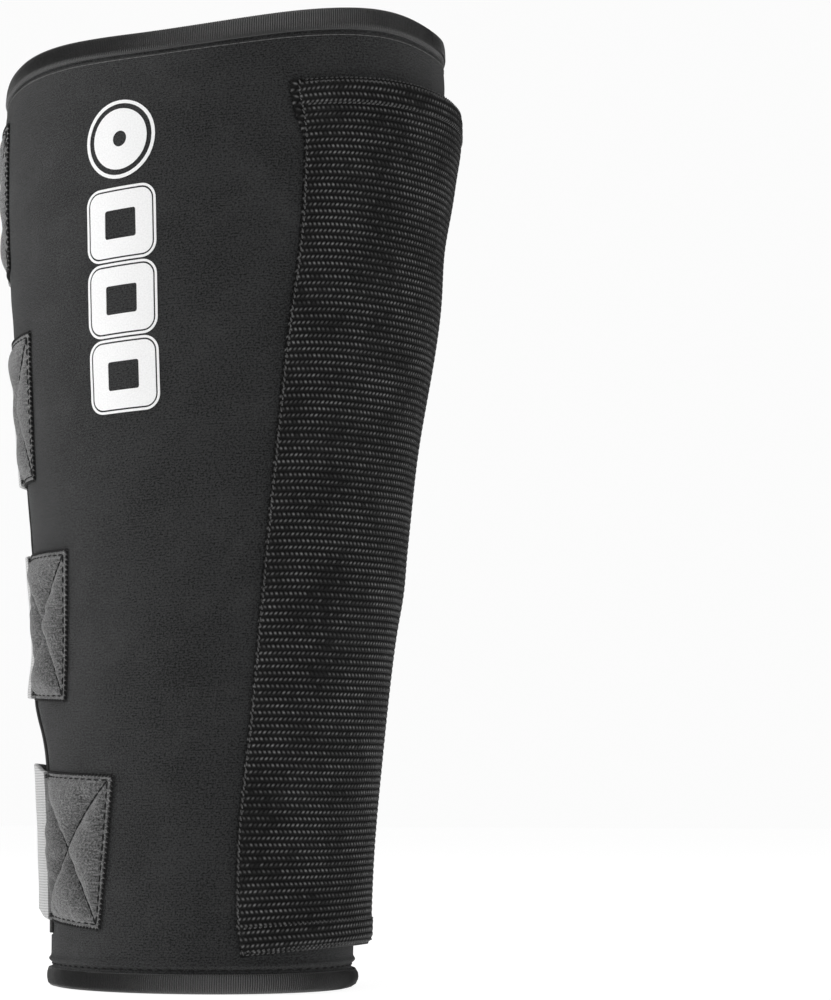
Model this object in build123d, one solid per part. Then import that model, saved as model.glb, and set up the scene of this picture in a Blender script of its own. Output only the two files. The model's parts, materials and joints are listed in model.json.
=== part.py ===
from build123d import *
import math
import os

# Slip-on shin guard for a right leg: a tapered neoprene tube with a padded webbing pocket
# down the shin and four short elastic straps across a window in the calf.
# +Z is up the leg, -Y is the shin, +Y the calf, -X the outer (lateral) side of the leg.

# ---- Driving dimensions, in millimetres ----
HEIGHT = 315.5              # nominal height of the sleeve at its middle
RIM_TILT = 0.06             # the top rim rises towards the shin by this much per mm
HEM_HALF_DEPTH = 53.0       # half the front-to-back size of the sleeve at the hem
RIM_HALF_DEPTH = 80.0       # the same at the rim
WIDTH_TO_DEPTH = 0.80       # side-to-side size over front-to-back size
TAPER_POWER = 1.15          # how late the calf swells on the way up
HEM_SHIFT = 7.18            # how far the hem's centre lies towards the calf
RIM_SHIFT = 0.98            # and the rim's centre

NEOPRENE = 5.0              # thickness of the foam rubber
SEAM_GAP = 0.15             # clearance between sewn layers
MOVING_GAP = 0.4            # clearance under the loose strap ends

BINDING_HEIGHT = 7.5        # rib-knit strip folded over the rim and the hem
BINDING_THICKNESS = 1.5

WINDOW_BOTTOM = 17.0        # calf window bridged by the ribbed elastic
WINDOW_TOP = 300.0
OUTER_EDGE_ANGLE = (147.0, 176.0)    # window edge on the outer side, degrees at bottom and top
INNER_EDGE_ANGLE = (198.0, 209.0)    # window edge on the inner side
EDGE_TAPE_LEG = 2.5         # narrow tape folded round the window's edges
EDGE_TAPE_THICKNESS = 0.8
GUSSET_OVERLAP = 8.0
GUSSET_THICKNESS = 1.5

COVER_BOTTOM = 12.5
COVER_TOP = 293.0
COVER_HALF_ANGLE = (54.5, 45.0)      # half the pocket's wrap, degrees at bottom and top
COVER_FABRIC = 1.5
COVER_EDGE = 2.2            # how proud the pocket stands at its side edges
COVER_RISE = 3.9            # how much more it stands over the shin
COVER_HEM = 9.0             # turned-in hem at the pocket's two ends
PLATE_THICKNESS = 1.2
PLATE_WRAP = 0.72           # part of the pocket's width that the plate fills
PAD_WRAP = 0.84

STRAP_HEIGHT = 50.0
STRAP_CENTRES = (47.5, 122.5, 197.5, 272.5)
STRAP_INNER = 1.6           # height of the strap's inner face over the neoprene
STRAP_THICKNESS = 1.8
PATCH_FRONT_ANGLE = (104.0, 121.0, 131.0, 141.0)    # each patch's front edge at its middle
PATCH_LEAN = 0.12           # degrees per mm that the front edge leans towards the shin
PATCH_OUTER = 2.4
PATCH_SETBACK = 3.0         # the patch stops this far short of the window's edge
HINGE_CLEAR = 1.7           # free length each side of the strap's bending line
TAB_FOLD = -4.0             # where the loose end peels, past the window's inner-side edge
TAB_CLEAR = 1.0
TAB_END = 16.0              # where the strap ends, past the same edge
HOOK_START = 4.0
HOOK_END = 15.0
HOOK_THICKNESS = 1.0

ARC_POINTS = 9


def mix(low, high, t):
    """The value a share t of the way from low to high."""
    return low + (high - low) * t


def swell(level):
    """How much of the taper has happened at a level above the hem, from 0 to 1."""
    t = min(max(level / HEIGHT, 0.0), 1.0)
    return (t * t * (3 - 2 * t)) ** TAPER_POWER


def axes_at(level):
    """Half width, half depth and centre of the sleeve's oval at a level."""
    half_depth = mix(HEM_HALF_DEPTH, RIM_HALF_DEPTH, swell(level))
    return half_depth * WIDTH_TO_DEPTH, half_depth, mix(HEM_SHIFT, RIM_SHIFT, level / HEIGHT)


def on_sleeve(angle, level, offset=0.0):
    """A point over the sleeve's outer face: 0 degrees is the shin, 90 the outer side."""
    half_width, half_depth, centre = axes_at(level)
    turn = math.radians(angle)
    normal = Vector(-math.sin(turn) / half_width, -math.cos(turn) / half_depth, 0).normalized()
    x = -half_width * math.sin(turn) + normal.X * offset
    y = centre - half_depth * math.cos(turn) + normal.Y * offset
    return Vector(x, y, level * (1 - RIM_TILT * y / HEIGHT))


def degrees_for(angle, level, distance):
    """The angle reached by going a distance in mm round the sleeve from an angle."""
    half_width, half_depth, _ = axes_at(level)
    steps = 8
    for _ in range(steps):
        turn = math.radians(angle)
        speed = math.hypot(half_width * math.cos(turn), half_depth * math.sin(turn))
        angle += math.degrees(distance / steps / speed)
    return angle


def levels(bottom, top, count):
    """Evenly spaced levels from bottom to top."""
    return [mix(bottom, top, i / (count - 1)) for i in range(count)]


def arc_face(start, end, inner, outer, level):
    """A slice of a wrapped layer. inner and outer give the offset for a share 0 to 1 of the wrap."""
    shares = [i / (ARC_POINTS - 1) for i in range(ARC_POINTS)]
    outside = [on_sleeve(mix(start, end, s), level, outer(s)) for s in shares]
    inside = [on_sleeve(mix(start, end, s), level, inner(s)) for s in shares]
    outer_line = Spline(*outside)
    inner_line = Spline(*inside)
    ends = [Line(outside[0], inside[0]), Line(outside[-1], inside[-1])]
    return make_face([outer_line, inner_line, *ends])


def wrapped_layer(start, end, inner, outer, heights):
    """A layer wrapped on the sleeve. start and end give the edge angles at a level."""
    if not callable(inner):
        inner_depth = inner
        inner = lambda share: inner_depth
    if not callable(outer):
        outer_depth = outer
        outer = lambda share: outer_depth
    return loft([arc_face(start(z), end(z), inner, outer, z) for z in heights])


def edge_strip(edge, profile, heights):
    """A narrow strip along an edge. profile lists (distance past the edge, offset) corners."""
    slices = []
    for z in heights:
        corners = [on_sleeve(degrees_for(edge(z), z, along), z, offset) for along, offset in profile]
        slices.append(make_face(Polyline(*corners, close=True)))
    return loft(slices)


def oval_block(offset, bottom, top):
    """A solid filling the sleeve's oval, grown by an offset."""
    slices = []
    for z in levels(bottom, top, 3):
        points = [on_sleeve(turn * 15.0, z, offset) for turn in range(24)]
        slices.append(make_face(Spline(*points, periodic=True)))
    return loft(slices)


def oval_ring(inner, outer, bottom, top):
    """A band between two offsets, all round the sleeve."""
    return oval_block(outer, bottom, top) - oval_block(inner, bottom - 1, top + 1)


def window_outer_edge(z):
    """Angle of the calf window's outer-side edge."""
    return mix(*OUTER_EDGE_ANGLE, (z - WINDOW_BOTTOM) / (WINDOW_TOP - WINDOW_BOTTOM))


def window_inner_edge(z):
    """Angle of the calf window's inner-side edge."""
    return mix(*INNER_EDGE_ANGLE, (z - WINDOW_BOTTOM) / (WINDOW_TOP - WINDOW_BOTTOM))


def past_outer(distance):
    """An edge line on the sleeve, a distance past the window's outer-side edge."""
    return lambda z: degrees_for(window_outer_edge(z), z, distance)


def past_inner(distance):
    """An edge line on the sleeve, a distance past the window's inner-side edge."""
    return lambda z: degrees_for(window_inner_edge(z), z, distance)


def cover_edge(z):
    """Angle from the shin line to the pocket's side edges."""
    return mix(*COVER_HALF_ANGLE, (z - COVER_BOTTOM) / (COVER_TOP - COVER_BOTTOM))


def cover_height(share, wrap=1.0):
    """How proud the pocket stands, for a share 0 to 1 across a part of its width."""
    across = (2 * share - 1) * wrap
    return COVER_EDGE + COVER_RISE * (1 - across ** 4)


def make_panels():
    """The two halves of the neoprene tube, joined along the shin and the calf."""
    heights = levels(BINDING_THICKNESS + SEAM_GAP, HEIGHT - BINDING_THICKNESS - SEAM_GAP, 7)
    window = wrapped_layer(window_outer_edge, window_inner_edge, -NEOPRENE - 4, 4,
                           levels(WINDOW_BOTTOM, WINDOW_TOP, 5))
    outer_half = wrapped_layer(lambda z: 0.1, lambda z: 179.9, -NEOPRENE, 0.0, heights)
    inner_half = wrapped_layer(lambda z: 180.1, lambda z: 359.9, -NEOPRENE, 0.0, heights)
    return {"lateral_panel": outer_half - window, "medial_panel": inner_half - window}


def make_binding(bottom, top, slot_bottom, slot_top):
    """A rib-knit strip folded over an end of the tube."""
    skin = SEAM_GAP + BINDING_THICKNESS
    strip = oval_ring(-NEOPRENE - skin, skin, bottom, top)
    return strip - oval_ring(-NEOPRENE - SEAM_GAP, SEAM_GAP, slot_bottom, slot_top)


def make_bindings():
    """The bindings of the rim and the hem. The hem's is what the guard stands on."""
    rim_start = HEIGHT - BINDING_HEIGHT
    hem = make_binding(0.0, BINDING_HEIGHT, BINDING_THICKNESS, BINDING_HEIGHT + 2)
    rim = make_binding(rim_start, HEIGHT, rim_start - 2, HEIGHT - BINDING_THICKNESS)
    return {"hem_binding": hem, "rim_binding": rim}


def make_calf_window():
    """The ribbed elastic behind the window and the tapes round its two long edges."""
    inner = -NEOPRENE - 2 * SEAM_GAP
    gusset = wrapped_layer(past_outer(-GUSSET_OVERLAP), past_inner(GUSSET_OVERLAP),
                           inner - GUSSET_THICKNESS, inner,
                           levels(BINDING_HEIGHT + 1.5, WINDOW_TOP + 6, 5))
    lip = SEAM_GAP + EDGE_TAPE_THICKNESS
    fold = 2 * SEAM_GAP
    past = fold + EDGE_TAPE_THICKNESS
    profile = [(-EDGE_TAPE_LEG, SEAM_GAP), (-EDGE_TAPE_LEG, lip), (past, lip),
               (past, -NEOPRENE), (fold, -NEOPRENE), (fold, SEAM_GAP)]
    mirrored = [(-along, offset) for along, offset in profile]
    heights = levels(WINDOW_BOTTOM + 1, WINDOW_TOP - 1, 7)
    return {"rear_gusset": gusset,
            "lateral_edge_tape": edge_strip(window_outer_edge, profile, heights),
            "medial_edge_tape": edge_strip(window_inner_edge, mirrored, heights)}


def shin_layer(wrap, inner, outer, bottom, top):
    """A layer of the shin pocket that fills part of its width."""
    return wrapped_layer(lambda z: -wrap * cover_edge(z), lambda z: wrap * cover_edge(z),
                         inner, outer, levels(bottom, top, 5))


def make_shin_pocket():
    """The webbing cover sewn over a stiff plate and a foam pad."""
    hem_bottom = COVER_BOTTOM + COVER_HEM
    hem_top = COVER_TOP - COVER_HEM
    under_cover = COVER_FABRIC + SEAM_GAP
    under_plate = under_cover + PLATE_THICKNESS + SEAM_GAP
    shell = shin_layer(1.0, 2 * SEAM_GAP, cover_height, COVER_BOTTOM, COVER_TOP)
    hollow_wrap = 0.9
    hollow = shin_layer(hollow_wrap, -1.0, lambda s: cover_height(s, hollow_wrap) - COVER_FABRIC,
                        hem_bottom, hem_top)
    plate = shin_layer(PLATE_WRAP,
                       lambda s: cover_height(s, PLATE_WRAP) - under_cover - PLATE_THICKNESS,
                       lambda s: cover_height(s, PLATE_WRAP) - under_cover,
                       hem_bottom + 3, hem_top - 3)
    pad = shin_layer(PAD_WRAP, 2 * SEAM_GAP, lambda s: cover_height(s, PAD_WRAP) - under_plate,
                     hem_bottom + 1, hem_top - 1)
    return {"front_cover": shell - hollow, "shin_plate": plate, "foam_pad": pad}


def strap_piece(centre, start, end, inner, outer, margin=0.0):
    """A piece of one strap, between two edge lines."""
    half = STRAP_HEIGHT / 2 - margin
    return wrapped_layer(start, end, inner, outer, levels(centre - half, centre + half, 3))


def bending_lines(centre):
    """The lines that a strap bends about: where it leaves its patch, and where its end peels."""
    middle = STRAP_INNER + STRAP_THICKNESS / 2
    ends = (centre - STRAP_HEIGHT / 2, centre + STRAP_HEIGHT / 2)
    folds = (past_outer(HINGE_CLEAR - PATCH_SETBACK), past_inner(TAB_FOLD))
    return [[on_sleeve(fold(z), z, middle) for z in ends] for fold in folds]


def make_strap(centre, patch_front):
    """One strap: its sewn patch, its elastic band, its loose end and the hook tape under that."""
    outer = STRAP_INNER + STRAP_THICKNESS
    patch_start = lambda z: patch_front - PATCH_LEAN * (z - centre)
    return {"anchor_patch": strap_piece(centre, patch_start, past_outer(-PATCH_SETBACK),
                                        SEAM_GAP, PATCH_OUTER),
            "elastic_band": strap_piece(centre, past_outer(2 * HINGE_CLEAR - PATCH_SETBACK),
                                        past_inner(TAB_FOLD - TAB_CLEAR), STRAP_INNER, outer),
            "strap_tab": strap_piece(centre, past_inner(TAB_FOLD + TAB_CLEAR),
                                     past_inner(TAB_END), STRAP_INNER, outer),
            "hook_tape": strap_piece(centre, past_inner(HOOK_START), past_inner(HOOK_END),
                                     MOVING_GAP, MOVING_GAP + HOOK_THICKNESS, margin=2.0)}


def build():
    """Every piece of the guard by name."""
    pieces = {}
    pieces.update(make_panels())
    pieces.update(make_bindings())
    pieces.update(make_calf_window())
    pieces.update(make_shin_pocket())
    for number, (centre, patch_front) in enumerate(zip(STRAP_CENTRES, PATCH_FRONT_ANGLE), 1):
        for name, piece in make_strap(centre, patch_front).items():
            pieces[f"{name}_{number}"] = piece
    return pieces


if __name__ == "__main__":
    os.makedirs("parts", exist_ok=True)
    for name, piece in build().items():
        export_step(piece, f"parts/{name}.step")
    for number, centre in enumerate(STRAP_CENTRES, 1):
        print(f"strap {number} bends about", *bending_lines(centre))
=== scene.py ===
import json
import math
import bpy
import numpy as np
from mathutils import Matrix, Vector


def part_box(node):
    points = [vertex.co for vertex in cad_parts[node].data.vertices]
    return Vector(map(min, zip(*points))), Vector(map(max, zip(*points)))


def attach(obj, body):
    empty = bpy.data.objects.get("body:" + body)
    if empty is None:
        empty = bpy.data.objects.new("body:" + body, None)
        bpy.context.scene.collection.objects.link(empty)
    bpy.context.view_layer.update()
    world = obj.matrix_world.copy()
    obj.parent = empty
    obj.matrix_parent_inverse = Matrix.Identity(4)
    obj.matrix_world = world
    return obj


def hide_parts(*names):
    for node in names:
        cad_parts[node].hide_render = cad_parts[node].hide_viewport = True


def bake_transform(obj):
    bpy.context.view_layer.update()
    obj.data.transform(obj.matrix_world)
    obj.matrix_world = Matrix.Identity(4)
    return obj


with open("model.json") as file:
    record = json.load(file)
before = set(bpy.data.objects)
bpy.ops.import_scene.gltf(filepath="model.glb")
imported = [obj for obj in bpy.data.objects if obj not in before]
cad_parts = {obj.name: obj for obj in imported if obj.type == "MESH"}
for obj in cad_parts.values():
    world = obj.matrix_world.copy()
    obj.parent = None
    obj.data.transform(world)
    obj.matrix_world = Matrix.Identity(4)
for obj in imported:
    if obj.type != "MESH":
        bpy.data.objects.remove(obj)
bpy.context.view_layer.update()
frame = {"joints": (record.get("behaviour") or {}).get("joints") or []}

# ---- The guard's sizes, in millimetres and degrees. Meshes turn them into metres as they are made ----
MM = 0.001
NEOPRENE = 5.0               # thickness of the sleeve's neoprene
BINDING_SKIN = 1.65          # how far the knit strip stands over each face of the neoprene
HEIGHT = 315.5
RIM_TILT = 0.06              # how much of the rim's depth it rises by, from calf to shin
WIDTH_TO_DEPTH = 0.80
TAPER_POWER = 1.15
WINDOW_BOTTOM, WINDOW_TOP = 17.0, 300.0
OUTER_EDGE_ANGLE = (147.0, 176.0)    # the calf window's outer edge, at its bottom and its top
INNER_EDGE_ANGLE = (198.0, 209.0)
COVER_BOTTOM, COVER_TOP = 12.5, 293.0
COVER_HALF_ANGLE = (54.5, 45.0)      # half the pocket's wrap, at its bottom and its top
COVER_EDGE, COVER_RISE = 2.2, 3.9    # how proud its sides stand, and how much more its middle does
STRAP_HEIGHT = 50.0
STRAP_CENTRES = (47.5, 122.5, 197.5, 272.5)
STRAP_INNER, STRAP_THICKNESS = 1.6, 1.8
PATCH_FRONT_ANGLE = (104.0, 121.0, 133.0, 143.5)
PATCH_LEAN = 0.12            # degrees by which a patch's front edge goes back for each mm down
PATCH_SETBACK = 3.0          # from a patch's back edge to the window's edge
TAB_FOLD, TAB_END = -4.0, 16.0       # a loose end's fold and its tip, from the window's inner edge
HOOK_START, HOOK_END = 4.0, 15.0

# The shin webbing: rows of short floats, which lean one way and then the other.
WEBBING_ROW, WEBBING_FLOAT = 2.1, 1.4
FLOAT_LEAN = 0.55
ROW_SWAY, ROW_SWAY_TURN = 0.25, 0.11    # how far the rows wander, and in how many radians a mm
GUSSET_RIB, TAPE_RIB = 1.5, 0.9    # spacing of the ribs in the two elastics

hem_low, hem_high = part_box("hem_binding")
rim_low, rim_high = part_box("rim_binding")
HEM_HALF_DEPTH = (hem_high.y - hem_low.y) / 2 / MM - BINDING_SKIN
RIM_HALF_DEPTH = (rim_high.y - rim_low.y) / 2 / MM - BINDING_SKIN
HEM_SHIFT = (hem_high.y + hem_low.y) / 2 / MM
RIM_SHIFT = (rim_high.y + rim_low.y) / 2 / MM


# ---- The sleeve's surface, the same formula as the frame's ----
def mix(low, high, t):
    """The value a share t of the way from low to high."""
    return low + (high - low) * t


def axes_at(level):
    """Half width, half depth and centre of the sleeve's oval at a level."""
    t = np.clip(level / HEIGHT, 0, 1)
    swell = (t * t * (3 - 2 * t)) ** TAPER_POWER
    half_depth = mix(HEM_HALF_DEPTH, RIM_HALF_DEPTH, swell)
    return half_depth * WIDTH_TO_DEPTH, half_depth, mix(HEM_SHIFT, RIM_SHIFT, level / HEIGHT)


# How far the soft rim sags below its cut line, or stands over it where negative, in mm, at angles
# from the shin round to the calf.
RIM_SAG_ANGLES = (0, 10, 18, 28, 40, 50, 61, 73, 86, 100, 115, 130, 150, 180)
RIM_SAG = (-1.6, -2.4, -3.0, -2.8, -1.4, 0.0, 1.7, 2.9, 3.0, 1.3, -0.8, -1.6, 0.6, 1.0)
RIM_SAG_START = 280.0
RIM_PULL = 1.4               # how far the binding gathers the rim in


def from_shin(angle):
    """How far round an angle is from the shin, to either side."""
    return np.abs(np.mod(angle + 180, 360) - 180)


def hill(value, middle, spread):
    """A smooth hill of height 1 round a middle value."""
    return np.exp(-((value - middle) / spread) ** 2)


def hills(value, table):
    """The sum of a table's hills. Each row is its middle, its spread and its height."""
    return sum(height * hill(value, middle, spread) for middle, spread, height in table)


def rim_sag(angle):
    """The rim's sag at an angle: the table above, evened out over 12 degrees to either side."""
    reach = 12
    degrees = np.linspace(0, 180, 181)
    rough = np.interp(np.abs(np.linspace(-reach, 180 + reach, 181 + 2 * reach)), RIM_SAG_ANGLES, RIM_SAG)
    window = np.hanning(2 * reach + 3)[1:-1]
    return np.interp(from_shin(angle), degrees, np.convolve(rough, window / window.sum(), "valid"))


def calf_bulge(angle, level):
    """How far the second strap pulls the outer half of the sleeve out over its lower edge, in mm."""
    bulge, strap_edge, spread = 2.8, 97, 12.0
    beside_window = smooth_step(116, 150, angle) * (1 - smooth_step(152, 168, angle))
    return bulge * hill(level, strap_edge, spread) * beside_window


def on_sleeve(angle, level, offset=0.0):
    """Points over the sleeve's outer face, in mm: 0 degrees is the shin, 90 the outer side."""
    given = (np.asarray(value, float) for value in (angle, level, offset))
    angle, level, offset = np.broadcast_arrays(*given)
    gathered = RIM_PULL * smooth_step(HEIGHT - 16, HEIGHT - 2, level)
    offset = offset + calf_bulge(np.mod(angle, 360), level) - gathered
    half_width, half_depth, centre = axes_at(level)
    turn = np.radians(angle)
    across, along = -np.sin(turn), -np.cos(turn)
    length = np.hypot(across / half_width, along / half_depth)
    x = half_width * across + across / half_width / length * offset
    y = centre + half_depth * along + along / half_depth / length * offset
    sag = rim_sag(angle) * smooth_step(RIM_SAG_START, HEIGHT, level)
    return np.stack([x, y, level * (1 - RIM_TILT * y / HEIGHT) - sag], axis=-1)


def walk(angle, level, distance):
    """The angle reached by going a distance in mm round the sleeve from an angle."""
    given = (np.asarray(value, float) for value in (angle, level, distance))
    angle, level, distance = np.broadcast_arrays(*given)
    half_width, half_depth, _ = axes_at(level)
    steps = 8
    for _ in range(steps):
        turn = np.radians(angle)
        speed = np.hypot(half_width * np.cos(turn), half_depth * np.sin(turn))
        angle = angle + np.degrees(distance / steps / speed)
    return angle


def girth_between(start, end, level):
    """Distance in mm round the sleeve from one angle to another."""
    turns = np.linspace(start, end, 33)
    half_width, half_depth, _ = axes_at(np.asarray(level, float))
    turn = np.radians(turns)
    speed = np.hypot(half_width * np.cos(turn), half_depth * np.sin(turn))
    return ((speed[1:] + speed[:-1]) / 2 * np.radians(np.diff(turns, axis=0))).sum(axis=0)


def from_first_column(angle, level):
    """Distance in mm round the sleeve from a grid's first column to each of its points."""
    return girth_between(np.broadcast_to(angle[:, :1], angle.shape), angle, level)


def from_shin_seam(angle, level):
    """Distance in mm round the sleeve from the shin to each point of a grid."""
    return girth_between(np.zeros(angle.shape), angle, level)


def window_share(level):
    """How far up the calf window a level is, from 0 to 1."""
    return (np.asarray(level, float) - WINDOW_BOTTOM) / (WINDOW_TOP - WINDOW_BOTTOM)


def window_outer_edge(level):
    """The angle of the calf window's outer edge."""
    return mix(*OUTER_EDGE_ANGLE, window_share(level))


def window_inner_edge(level):
    """The angle of the calf window's inner edge."""
    return mix(*INNER_EDGE_ANGLE, window_share(level))


def cover_edge(level):
    """Half the pocket's wrap in degrees, along a straight side."""
    share = (np.asarray(level, float) - COVER_BOTTOM) / (COVER_TOP - COVER_BOTTOM)
    return mix(*COVER_HALF_ANGLE, share)


def smooth_step(low, high, value):
    """0 up to low, 1 from high, and an easy slope between."""
    t = np.clip((value - low) / (high - low), 0, 1)
    return t * t * (3 - 2 * t)


def rounded_edge(distance, radius):
    """How far a surface drops near its edge when the edge is rounded to a radius."""
    inside = np.clip(distance, 0, radius)
    return radius - np.sqrt(np.maximum(radius ** 2 - (radius - inside) ** 2, 0))


def soft_noise(u, v, seed, count=7, longest=60.0):
    """Gentle uneven height from -1 to 1, a sum of a few seeded waves. u and v are in mm."""
    rng = np.random.default_rng(seed)
    total = np.zeros(np.broadcast(u, v).shape)
    for _ in range(count):
        length = longest * rng.uniform(0.35, 1.0)
        heading = rng.uniform(0, math.pi)
        phase = rng.uniform(0, 2 * math.pi)
        travelled = u * math.cos(heading) + v * math.sin(heading)
        total += np.sin(2 * math.pi * travelled / length + phase)
    return total / count


# ---- Mesh making ----
SHARP_FOLD = math.radians(55)    # faces that meet at more than this show a crisp edge


def new_piece(name, corners, faces, uv=None):
    """An object from corner points in mm, four-cornered faces and a cloth map in mm."""
    mesh = bpy.data.meshes.new(name)
    faces = np.asarray(faces, np.int32)
    corners = np.asarray(corners, np.float64) * MM
    mesh.vertices.add(len(corners))
    mesh.vertices.foreach_set("co", corners.ravel().astype(np.float32))
    mesh.loops.add(faces.size)
    mesh.loops.foreach_set("vertex_index", faces.ravel())
    mesh.polygons.add(len(faces))
    mesh.polygons.foreach_set("loop_start", np.arange(0, faces.size, faces.shape[1], dtype=np.int32))
    if uv is not None:
        layer = mesh.uv_layers.new(name="cloth")
        layer.data.foreach_set("uv", np.asarray(uv, np.float32)[faces.ravel()].ravel())
    mesh.update(calc_edges=True)
    mesh.validate()
    mesh.polygons.foreach_set("use_smooth", np.ones(len(mesh.polygons), bool))
    mesh.set_sharp_from_angle(angle=SHARP_FOLD)
    piece = bpy.data.objects.new(name, mesh)
    bpy.context.scene.collection.objects.link(piece)
    return piece


def cloth_shell(name, outer, inner, uv, keep=None):
    """A closed sheet between an outer and an inner grid, with the cells in keep."""
    rows, columns = outer.shape[:2]
    if keep is None:
        keep = np.ones((rows - 1, columns - 1), bool)
    index = np.arange(rows * columns).reshape(rows, columns)
    low_left, high_left = index[:-1, :-1], index[1:, :-1]
    high_right, low_right = index[1:, 1:], index[:-1, 1:]
    back = rows * columns
    quads = [np.stack([low_left, high_left, high_right, low_right], -1)[keep]]
    quads.append(np.stack([low_left, low_right, high_right, high_left], -1)[keep] + back)
    padded = np.pad(keep, 1)
    sides = ((padded[1:-1, :-2], low_left, high_left), (padded[2:, 1:-1], high_left, high_right),
             (padded[1:-1, 2:], high_right, low_right), (padded[:-2, 1:-1], low_right, low_left))
    for neighbour, first, second in sides:
        open_edge = keep & ~neighbour
        wall = np.stack([second, first, first + back, second + back], -1)
        quads.append(wall[open_edge])
    corners = np.concatenate([outer.reshape(-1, 3), inner.reshape(-1, 3)])
    flat = np.concatenate([uv.reshape(-1, 2)] * 2)
    faces = np.concatenate(quads)
    used = np.unique(faces)
    renumber = np.zeros(len(corners), np.int64)
    renumber[used] = np.arange(len(used))
    return new_piece(name, corners[used], renumber[faces], flat[used])


def closed_tube(name, grid, uv):
    """A closed tube whose sections are the grid's rows. uv has one more row and column."""
    rows, columns = grid.shape[:2]
    r, c = np.meshgrid(np.arange(rows), np.arange(columns), indexing="ij")
    index = lambda i, j: (i % rows) * columns + (j % columns)
    faces = np.stack([index(r, c), index(r, c + 1), index(r + 1, c + 1), index(r + 1, c)], -1)
    piece = new_piece(name, grid.reshape(-1, 3), faces.reshape(-1, 4), np.zeros((rows * columns, 2)))
    corner_uv = np.stack([uv[r, c], uv[r, c + 1], uv[r + 1, c + 1], uv[r + 1, c]], -2)
    piece.data.uv_layers["cloth"].data.foreach_set("uv", corner_uv.ravel().astype(np.float32))
    return piece


def finish_piece(piece, material, body, replaces=()):
    """Gives a piece its material, its body and the nodes that it stands for."""
    piece.data.materials.append(material)
    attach(piece, body)
    if replaces:
        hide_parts(*replaces)
    return piece


STITCH_RINGS, STITCH_SIDES = 5, 6
STITCH_SINK = 0.55           # the share of its lift by which a stitch's ends dip under the seam
STITCH_TIP = 0.45            # a stitch's thickness at its ends, as a share of its middle's


def thread_stitches(name, seams, radius=0.28, length=2.1, gap=0.9, lift=0.25, slant=0.0):
    """Sewn stitches along seams. Each seam is its points and its normals, in mm. radius is the thread's,
    length and gap run along the seam, lift is a stitch's arch and slant its lean across the seam."""
    rings, sides = STITCH_RINGS, STITCH_SIDES
    bow = np.sin(np.linspace(0, math.pi, rings))
    along_stitch = np.linspace(-0.5, 0.5, rings)
    corners, faces = [], []
    for points, normals in seams:
        points, normals = np.asarray(points, float), np.asarray(normals, float)
        steps = np.linalg.norm(np.diff(points, axis=0), axis=1)
        travelled = np.concatenate([[0], np.cumsum(steps)])
        count = max(1, int(round(travelled[-1] / (length + gap))))
        pitch = travelled[-1] / count
        reach = pitch * length / (length + gap)
        for number in range(count):
            middle = (number + 0.5) * pitch
            along = middle + along_stitch * reach
            centre = np.stack([np.interp(along, travelled, points[:, k]) for k in range(3)], -1)
            up = np.array([np.interp(middle, travelled, normals[:, k]) for k in range(3)])
            up /= np.linalg.norm(up)
            forward = centre[-1] - centre[0]
            forward /= np.linalg.norm(forward)
            side = np.cross(up, forward)
            centre = centre + up * (lift * (bow[:, None] - STITCH_SINK))
            centre = centre + side * (slant * along_stitch[:, None])
            start = len(corners)
            for ring in range(rings):
                size = radius * mix(STITCH_TIP, 1.0, bow[ring])
                for k in range(sides):
                    turn = 2 * math.pi * k / sides
                    corners.append(centre[ring] + size * (side * math.cos(turn) + up * math.sin(turn)))
            for ring in range(rings - 1):
                for k in range(sides):
                    a, b = start + ring * sides + k, start + ring * sides + (k + 1) % sides
                    faces.append((a, b, b + sides, a + sides))
            last = start + (rings - 1) * sides
            for base, order in ((start, (3, 2, 1, 0)), (start, (5, 4, 3, 0)),
                                (last, (0, 1, 2, 3)), (last, (0, 3, 4, 5))):
                faces.append([base + k for k in order])
    corners = np.array(corners)
    return new_piece(name, corners, faces, corners[:, :2])


def seam_on_sleeve(angles, levels, offset):
    """Points and normals of a seam that runs over the sleeve."""
    points = on_sleeve(angles, levels, offset)
    normals = on_sleeve(angles, levels, np.asarray(offset) + 1.0) - points
    return points, normals


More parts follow.
